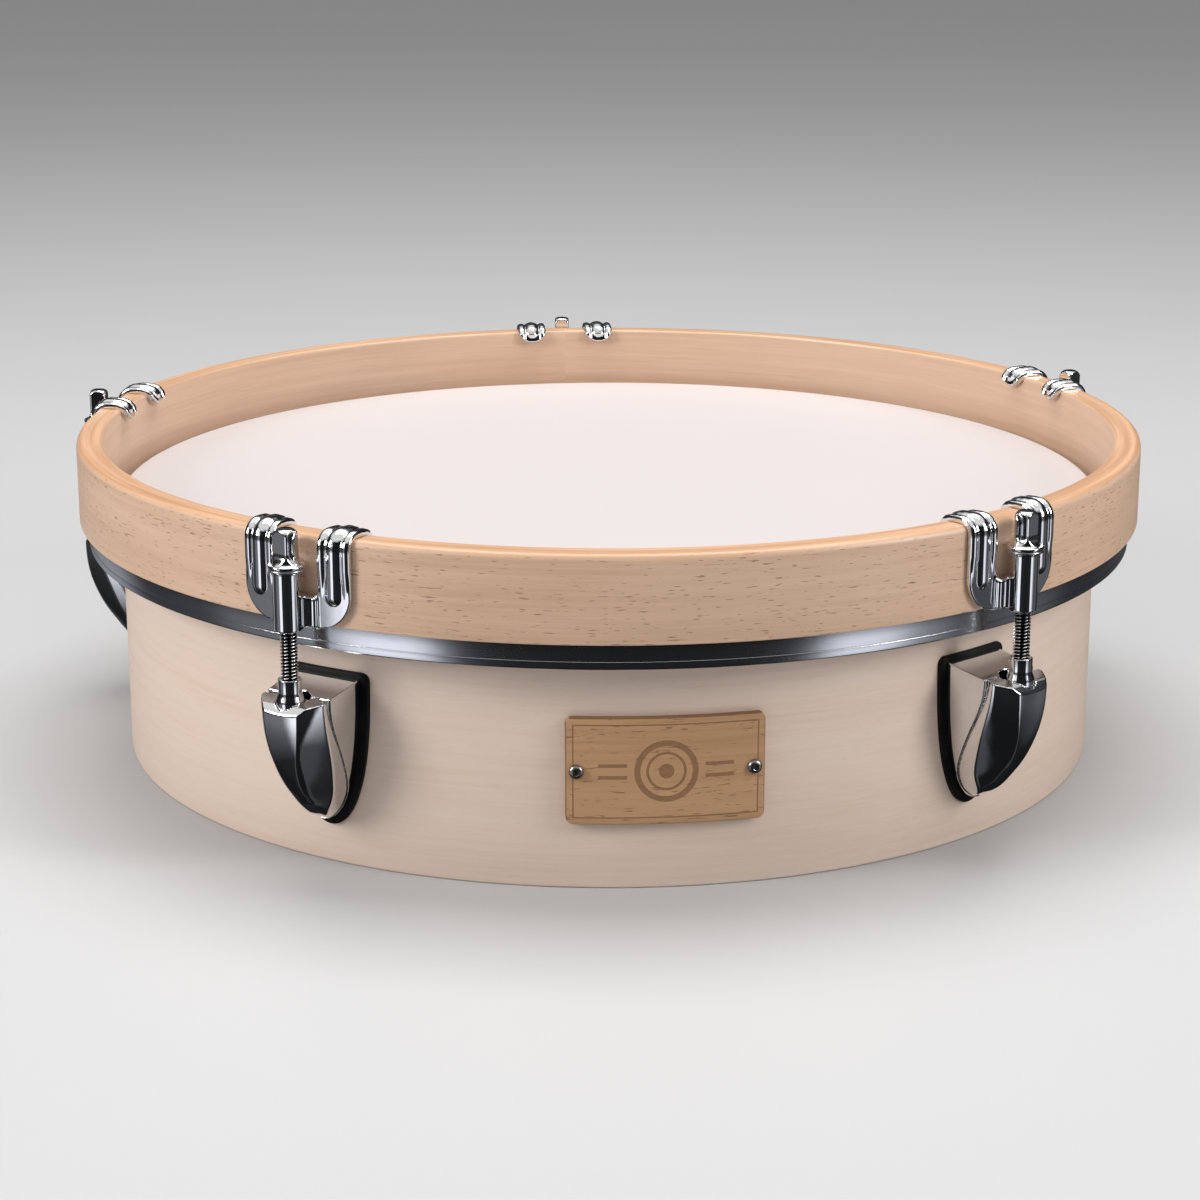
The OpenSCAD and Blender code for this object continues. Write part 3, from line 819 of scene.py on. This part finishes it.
PLATE = HOOP_R + 1.3                 # middle of the claw's plate
PLATE_Z = HOOP_Z - 0.4
CLAW_HALF = 22.8
GAP_HALF = 9.4
HOOK_MID = (CLAW_HALF + GAP_HALF) / 2
BEAD_HALF = 1.7
VALLEY = HOOP_TOP - 21.5              # bottom of the gap between the hooks
claw_path = [(PLATE - 0.12, PLATE_Z), (PLATE, PLATE_Z + 9), (PLATE, PLATE_Z + 20),
             (PLATE, HOOP_TOP - 4.0)]
claw_path += arc(PLATE - 5.05, HOOP_TOP - 4.0, 5.05, 0, 90, 12)[1:]
claw_path += [(213.0, HOOP_TOP + 1.05), (210.4, HOOP_TOP + 0.85), (208.3, HOOP_TOP + 0.1),
              (206.9, HOOP_TOP - 1.4), (206.1, HOOP_TOP - 3.2), (205.8, HOOP_TOP - 4.8)]
claw_len = sum(math.hypot(b[0] - a[0], b[1] - a[1]) for a, b in zip(claw_path, claw_path[1:]))


def ridge(off, across, half, height):
    """A bead on the outside of the claw's strip, half wide and height tall."""
    rad = (half ** 2 + height ** 2) / (2 * height)
    centre = 1.0 + height - rad
    return np.maximum(np.hypot(off - centre, across) - rad, -0.9 - off)


def claw_hooks(x, y, z):
    """The bent strip, with its two ribbed hooks and the gap between them."""
    ya = np.abs(y)
    off, dist, s = along(claw_path, np.hypot(x, y), z)
    plate = dist - 1.0
    edge = corner_box(ya - (CLAW_HALF - 13.2), 13.2 - s, 13.2)
    gap = corner_box(ya - (GAP_HALF - 2.6), VALLEY - PLATE_Z + 2.6 - s, 2.6)
    outline = np.maximum(edge, -gap)
    tip = corner_box(np.abs(ya - HOOK_MID) - 0.7, s - (claw_len - 6.0), 6.0)
    outline = np.where(s > 30, np.maximum(outline, tip), outline)
    # each hook carries a broad round-ended rib between two beads along its edges
    past_ends = np.maximum(12.2 - s, 0) + np.maximum(s - (claw_len - 5.0), 0)
    rib = ridge(off, np.hypot(ya - HOOK_MID, past_ends), 3.2, 1.3)
    sink = 0.8 * np.clip((22 - s) / 10, 0, 1)
    bead_in = ridge(off + sink, ya - (GAP_HALF + BEAD_HALF), BEAD_HALF, 0.75)
    bead_out = ridge(off + sink, ya - (CLAW_HALF - BEAD_HALF), BEAD_HALF, 0.75)
    beads = np.minimum(bead_in, bead_out) + np.clip(12 - s, 0, 4)
    strip = np.minimum(np.minimum(plate, smin(plate, rib, 0.2)), smin(plate, beads, 0.2))
    return smax(strip, outline, 0.6)


def claw_field(x, y, z):
    """The whole claw: the hooks, the pad and web between them, and the bored barrel."""
    ya = np.abs(y)
    from_rod = np.hypot(x - ROD_R, y)
    middle = (BARREL_TOP + BARREL_BOTTOM) / 2
    half = (BARREL_TOP - BARREL_BOTTOM) / 2
    barrel = corner_box(from_rod - 4.45, np.abs(z - middle) - (half - 0.6), 0.6)
    high = np.abs(z - (PLATE_Z + VALLEY) / 2) - (VALLEY - PLATE_Z) / 2
    pad = smax(smax(ya - 9.6, x - 222.9, 1.4), high, 1.3)
    pad = np.maximum(pad, HOOP_R + 0.7 - x)
    web = np.maximum(smax(ya - 4.0, high, 1.3), np.maximum(HOOP_R + 0.7 - x, x - ROD_R))
    f = smin(claw_hooks(x, y, z), pad, 0.7)
    f = smin(f, smin(web, barrel, 1.2), 1.3)
    bore = np.maximum(from_rod - 3.4, barrel - 0.5)
    return smax(f, -bore, 0.25)


claw_v, claw_f, claw_n = surface_net(claw_field, (202, -24.2, 94), (232.4, 24.2, 134.6), 0.5)
for k in STATION_NUMBERS:
    make(f"claw_casting_{k}", claw_v, claw_f, "hoop_body", CHROME,
         sharp=None, normals=claw_n, replaces=[f"claw_{k}"], turn=station_turn(k))


# ---------------------------------------------------------------- tension rods

KEY_TURNS = (-7.5, 5.0, 12.0, -4.0, 8.0)    # each rod stops where its tension was right
KEY_HALF = 3.3
KEY_ROUND = 4.55
KEY_TOP = FLANGE_Z + 14.5
KEY_DOME = 3.2
FLANGE_R = 6.8
FLANGE_T = 1.5
SHANK_R = 3.15
THREAD_ROOT = 2.42
THREAD_DEPTH = 0.75
THREAD_TOP = BARREL_BOTTOM + 3


def thread(th):
    """Loops up a right-hand thread, which runs out into the plain shank at its top."""
    loops = []
    for z in np.arange(ROD_END, THREAD_TOP, PITCH / 8):
        left = THREAD_TOP - z
        phase = np.mod(z / PITCH - th / (2 * np.pi), 1.0)
        tooth = np.clip(1.25 - np.abs(phase - 0.5) * 3.4, 0, 1)
        fade = max(0.0, min(1.0, (z - ROD_END) / 1.2, left))
        root = THREAD_ROOT + 0.55 * (1 - max(0.0, min(1.0, left)))
        cone = 2.25 + 0.9 * (z - ROD_END)
        loops.append(circle(np.minimum(root + THREAD_DEPTH * tooth * fade, cone), z, th))
    return loops


def flange(th):
    """Loops up the shank and round the flange, which carries a smaller ring."""
    profile = rounded([(SHANK_R, BARREL_BOTTOM + 4), (SHANK_R, FLANGE_Z),
                       (FLANGE_R, FLANGE_Z, 0.75), (FLANGE_R, FLANGE_Z + FLANGE_T, 0.75),
                       (5.5, FLANGE_Z + FLANGE_T, 0.2), (5.1, FLANGE_Z + FLANGE_T + 0.4, 0.3)],
                      closed=False, n=6)
    return [circle(r, z, th) for r, z in profile]


def key_head(th, key_turn):
    """Loops up the square head, from the bell that its flats scallop to its domed end."""
    phi = th - math.radians(key_turn)
    square = KEY_HALF / (np.abs(np.cos(phi)) ** 24 + np.abs(np.sin(phi)) ** 24) ** (1 / 24)
    loops = []
    for z in np.concatenate([np.linspace(FLANGE_Z + 2.1, FLANGE_Z + 6.4, 16),
                             np.linspace(FLANGE_Z + 7.0, KEY_TOP - KEY_DOME, 6),
                             KEY_TOP - KEY_DOME * np.cos(np.linspace(0.12, 1.5, 14))]):
        up = z - FLANGE_Z
        top = KEY_TOP - z
        bell = KEY_ROUND + 0.5 * math.exp(-(up - 2.0) / 1.6)
        flat = square + 0.13 * max(0.0, 5.6 - up) ** 2
        r = np.minimum(bell, flat)
        if top < KEY_DOME:
            r = np.minimum(r, 1.45 + math.sqrt(KEY_DOME ** 2 - (KEY_DOME - top) ** 2))
        loops.append(circle(r, z, th))
    return loops


def build_rod(key_turn):
    """A tension rod, with its radius as grain, so that the thread's roots can take painted shade.
    """
    th = 2 * np.pi * np.arange(64) / 64
    v, f = loft(thread(th) + flange(th) + key_head(th, key_turn))
    grain = [(0.0, v[i][2], max(math.hypot(v[i][0], v[i][1]), 3.0 * (v[i][2] > BARREL_TOP)))
             for q in f for i in q]
    return v + np.array([ROD_R, 0, 0]), f, grain


for k in STATION_NUMBERS:
    v, f, g = build_rod(KEY_TURNS[k - 1])
    make(f"key_rod_{k}", v, f, f"rod_{k}", ROD_CHROME,
         sharp=50, grain=g, replaces=[f"tension_rod_{k}"], turn=station_turn(k))

WASHER_R = 6.6
WASHER_T = 1.0
WASHER_BORE = 3.4
washer = rounded([(WASHER_BORE, 0.0, 0.1), (WASHER_R, 0.0, 0.5), (WASHER_R, WASHER_T, 0.5),
                  (WASHER_BORE, WASHER_T, 0.1)], n=6)
washer_v, washer_f, _ = lathe(washer, 56)
parts = [(washer_v + rotated([ROD_R, 0, BARREL_TOP + 0.02], station_turn(k)), washer_f)
         for k in STATION_NUMBERS]
v, f = joined(parts)
make("rod_washer_rings", v, f, "hoop_body", STEEL, sharp=40,
     replaces=["rod_washers"])


# ---------------------------------------------------------------- badge and small parts

BADGE_HALF = 36.1
BADGE_HIGH = 20.0                    # half its height
BADGE_ROUND = 2.5
BADGE_Z = 45.5
BADGE_T = 2.9
SCREW_Y = 32.3


def build_badge():
    """A plate bent to the shell, with its grain coordinates centred on it."""
    cols = [BADGE_HALF * math.sin(math.pi / 2 * q / 18) for q in range(-18, 19)]
    rows = [i / 8 for i in range(-8, 9)]

    def half_h(y, inset):
        """Half the height at y, which drops round the corners."""
        over = max(0.0, abs(y) - (BADGE_HALF - BADGE_ROUND))
        drop = BADGE_ROUND - math.sqrt(max(0.0, BADGE_ROUND ** 2 - over ** 2))
        return BADGE_HIGH - inset - drop

    def sheet(r, inset):
        """The points of one layer, at radius r and drawn in by inset."""
        k = (BADGE_HALF - inset) / BADGE_HALF
        return [(r, y * k, BADGE_Z + half_h(y, inset) * j) for y in cols for j in rows]

    layers = [(SHELL_R + 0.02, 0.0), (SHELL_R + BADGE_T - 0.35, 0.0),
              (SHELL_R + BADGE_T - 0.1, 0.1), (SHELL_R + BADGE_T, 0.4)]
    n, m = len(cols), len(rows)
    rim = ([i * m for i in range(n)] + [(n - 1) * m + j for j in range(1, m)]
           + [i * m + m - 1 for i in range(n - 2, -1, -1)] + [j for j in range(m - 2, 0, -1)])
    pts, faces = [], []
    for li, (r, inset) in enumerate(layers):
        pts += sheet(r, inset)
        base = li * n * m
        if li in (0, len(layers) - 1):
            for i in range(n - 1):
                for j in range(m - 1):
                    q = [base + i * m + j, base + (i + 1) * m + j,
                         base + (i + 1) * m + j + 1, base + i * m + j + 1]
                    faces.append(q if li else q[::-1])
        if li:
            low = (li - 1) * n * m
            for a, b in zip(rim, rim[1:] + rim[:1]):
                faces.append([low + a, low + b, base + b, base + a])
    grain = [(pts[i][1], pts[i][2] - BADGE_Z, pts[i][0]) for q in faces for i in q]
    v = [(r * math.cos(y / r), r * math.sin(y / r), z) for r, y, z in pts]
    used = sorted({i for q in faces for i in q})
    index = {a: b for b, a in enumerate(used)}
    return [v[i] for i in used], [[index[i] for i in q] for q in faces], grain


badge_v, badge_f, badge_g = build_badge()
make("badge_plate", badge_v, badge_f, "shell_body", BADGE, sharp=35,
     grain=badge_g, replaces=["badge"], turn=-90)

button = rounded([(2.75, 0.0), (2.75, 0.4, 0.3), (2.4, 1.25, 0.8), (1.6, 1.7, 0.4)],
                 closed=False, n=5)


def build_button():
    """A screw along +X with a button head: loops run up its shaft, over the head and down to
    the floor of its hex socket."""
    th = 2 * np.pi * np.arange(48) / 48
    hexa = 1.25 / np.cos(np.mod(th + np.pi / 6, np.pi / 3) - np.pi / 6)
    loops = [circle(r, z, th) for r, z in [(1.5, -8.0), (1.5, 0.0)] + button]
    loops += [circle(hexa * k, z, th) for k, z in ((0.95, 1.75), (0.85, 1.68), (0.85, 0.6))]
    v, f = loft(loops)
    return np.stack([v[:, 2], v[:, 0], v[:, 1]], axis=1), f


screw_v, screw_f = build_button()
screw_v = screw_v + np.array([SHELL_R + BADGE_T + 0.02, 0, BADGE_Z])
screw_turn = math.degrees(SCREW_Y / (SHELL_R + BADGE_T))
parts = [(rotated(screw_v, -90 + side * screw_turn), screw_f) for side in (-1, 1)]
v, f = joined(parts)
make("badge_button_screws", v, f, "shell_body", DARK_STEEL, sharp=35,
     replaces=["badge_screws"])

for node, material in (("nut_retainers", NYLON), ("lug_screws", STEEL),
                       ("lug_screw_washers", STEEL), ("badge_nuts", STEEL),
                       ("flesh_hoop_resin", RESIN)):
    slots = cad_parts[node].data.materials
    if len(slots):
        slots[0] = material
    else:
        slots.append(material)


# ---------------------------------------------------------------- floor, light and camera

FLOOR_HALF = 300.0


def floor():
    """A plain pale floor, out to the horizon, in metres like all of this section."""
    t = Tree("pale_floor")
    p = t.node("TexCoord").outputs["Object"]
    soft = t.noise(p, 1.5, 3, 0.5)
    t.set(Base_Color=t.mix(soft, (0.46, 0.46, 0.465), (0.49, 0.49, 0.495)), Roughness=0.55)
    me = bpy.data.meshes.new("floor")
    s = FLOOR_HALF
    me.from_pydata([(-s, -s, 0), (s, -s, 0), (s, s, 0), (-s, s, 0)], [], [(0, 1, 2, 3)])
    me.materials.append(t.mat)
    ob = bpy.data.objects.new("floor", me)
    bpy.context.collection.objects.link(ob)
    return ob


def softbox(name, loc, target, size, power):
    """A soft white lamp, width by height in metres and power in watts, aimed at target."""
    li = bpy.data.lights.new(name, "AREA")
    li.shape = "RECTANGLE"
    li.size, li.size_y = size
    li.energy = power
    ob = bpy.data.objects.new(name, li)
    ob.location = loc
    ob.rotation_euler = (Vector(target) - Vector(loc)).to_track_quat("-Z", "Y").to_euler()
    bpy.context.collection.objects.link(ob)


ROOM_GREY = 0.22
CEILING = 0.85
BLACK = 0.01


def studio():
    """Soft panels round the drum for the chrome to mirror, by direction: a low row with gaps
    round the horizon, a ceiling, and nearly black between them."""
    t = Tree("studio", world=True)
    d = t.node("SeparateXYZ", {0: t.node("TexCoord").outputs["Generated"]})
    x, y, z = d.outputs[0], d.outputs[1], d.outputs[2]
    az = t.math("ARCTAN2", x, t.mul(y, -1.0))
    turn = t.add(t.mul(az, 1 / (2 * math.pi)), 0.5)

    # the low row's brightness by degrees from the badge's side, positive towards +X
    panels = [(-180, 0.10), (-140, 0.35), (-124, 0.03), (-100, 0.05), (-92, 0.17),
              (-70, 0.20), (-59, 1.3), (-46, 1.3), (-40, 0.015), (0, 0.006), (38, 0.012),
              (43, 1.15), (55, 1.05), (63, 0.3), (76, 0.07), (98, 0.12), (112, 0.02),
              (180, 0.10)]
    low = t.ramp(turn, [((a + 180) / 360, v) for a, v in panels], "EASE")
    # and by height: 0 is straight down, 0.5 the horizon and 1 straight up
    lift = t.add(t.mul(z, 0.5), 0.5)
    band = t.ramp(lift, [(0.0, 0.04), (0.17, 0.06), (0.27, 0.5), (0.33, 1.0), (0.378, 1.0),
                         (0.405, 0.25), (0.5, 0.12), (0.6, 0.3), (0.66, 0.9), (0.72, 0.15),
                         (0.80, 0.3), (1.0, 0.3)])
    high = t.ramp(lift, [(0.0, 0.0), (0.80, 0.0), (0.87, 1.0), (1.0, 1.0)])
    side = t.mul(t.mul(low, band), t.sub(1.0, high))
    value = t.add(t.add(side, t.mul(high, CEILING)), BLACK)
    tint = t.mix(high, (0.90, 0.92, 1.0), (1.0, 0.985, 0.96))
    # past the floor's edge the room itself is a plain grey, like the floor far away
    seen = t.node("LightPath").outputs["Is Camera Ray"]
    tint = t.mix(seen, tint, (1.0, 1.0, 1.0))
    unseen = t.mul(value, t.sub(1.0, seen))
    value = t.add(unseen, t.mul(seen, ROOM_GREY))
    t.set(Color=tint, Strength=value)
    bpy.context.scene.world = t.mat


# the chrome doesn't mirror the floor, which would wash out its dark parts
floor().visible_glossy = False
softbox("top_box", (0.1, 0.35, 1.9), (0, 0, 0.05), (1.5, 1.1), 34)
softbox("left_box", (-1.75, -0.6, 0.9), (-0.05, 0, 0.05), (0.6, 0.9), 24)
softbox("right_box", (1.55, -0.95, 0.95), (0.05, 0, 0.05), (0.5, 0.9), 18.5)
studio()
bpy.context.scene.view_settings.view_transform = "Standard"

# the photograph's viewpoint: degrees round from the badge, metres from the axis and above the
# floor, and how far the lens points down and aside, in radians
CAM_AZ = math.radians(5.85)
CAM_DIST = 1.1656
CAM_H = 0.3805
CAM_PITCH = 0.2752
CAM_YAW = -0.003


def camera():
    """A long lens that looks a little down at the drum."""
    data = bpy.data.cameras.new("camera")
    data.sensor_width = 36.0
    data.lens = 85.476
    cam = bpy.data.objects.new("camera", data)
    bpy.context.collection.objects.link(cam)
    cam.location = (-CAM_DIST * math.sin(CAM_AZ), -CAM_DIST * math.cos(CAM_AZ), CAM_H)
    heading = CAM_AZ + CAM_YAW
    flat = math.cos(CAM_PITCH)
    look = Vector((math.sin(heading) * flat, math.cos(heading) * flat, -math.sin(CAM_PITCH)))
    cam.rotation_euler = look.to_track_quat("-Z", "Y").to_euler()
    return cam


bpy.context.scene.camera = camera()
